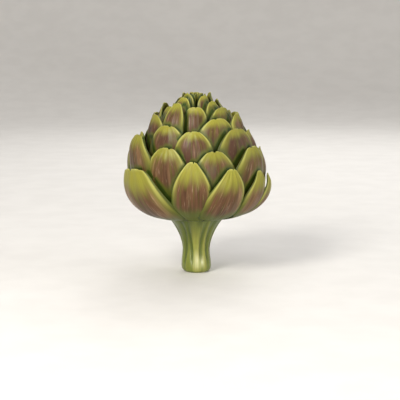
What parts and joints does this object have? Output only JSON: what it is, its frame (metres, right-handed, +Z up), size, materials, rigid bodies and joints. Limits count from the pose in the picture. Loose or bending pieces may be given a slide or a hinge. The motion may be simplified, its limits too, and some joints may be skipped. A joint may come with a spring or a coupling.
{
  "type": "artichoke",
  "caption": "Globe artichoke with green and purple leaves closed into a round head, on a short cut stem that it stands on.",
  "frame": {"origin": "centre of the flat cut at the foot of the stem, which the artichoke stands on", "axes": "+Z up along the stem to the tip of the bud; the side seen from the front faces -Y, and +X is to its right"},
  "size_m": [0.1081, 0.1097, 0.1325],
  "materials": {
    "leaf": "satin",
    "bud": "satin",
    "stem": "satin"
  },
  "bodies": {
    "root": {"bud": "bud", "leaf_row1_1": "leaf", "leaf_row1_2": "leaf", "leaf_row1_3": "leaf", "leaf_row1_4": "leaf", "leaf_row1_5": "leaf", "leaf_row1_6": "leaf", "leaf_row1_7": "leaf", "leaf_row1_8": "leaf", "leaf_row1_9": "leaf", "leaf_row2_1": "leaf", "leaf_row2_2": "leaf", "leaf_row2_3": "leaf", "leaf_row2_4": "leaf", "leaf_row2_5": "leaf", "leaf_row2_6": "leaf", "leaf_row2_7": "leaf", "leaf_row2_8": "leaf", "leaf_row2_9": "leaf", "leaf_row3_1": "leaf", "leaf_row3_2": "leaf", "leaf_row3_3": "leaf", "leaf_row3_4": "leaf", "leaf_row3_5": "leaf", "leaf_row3_6": "leaf", "leaf_row3_7": "leaf", "leaf_row3_8": "leaf", "leaf_row4_1": "leaf", "leaf_row4_2": "leaf", "leaf_row4_3": "leaf", "leaf_row4_4": "leaf", "leaf_row4_5": "leaf", "leaf_row4_6": "leaf", "leaf_row4_7": "leaf", "leaf_row4_8": "leaf", "leaf_row5_1": "leaf", "leaf_row5_2": "leaf", "leaf_row5_3": "leaf", "leaf_row5_4": "leaf", "leaf_row5_5": "leaf", "leaf_row5_6": "leaf", "leaf_row5_7": "leaf", "leaf_row6_1": "leaf", "leaf_row6_2": "leaf", "leaf_row6_3": "leaf", "leaf_row6_4": "leaf", "leaf_row6_5": "leaf", "leaf_row6_6": "leaf", "leaf_row7_1": "leaf", "leaf_row7_2": "leaf", "leaf_row7_3": "leaf", "leaf_row7_4": "leaf", "leaf_row7_5": "leaf", "stem_and_heart": "stem"}
  },
  "joints": []
}
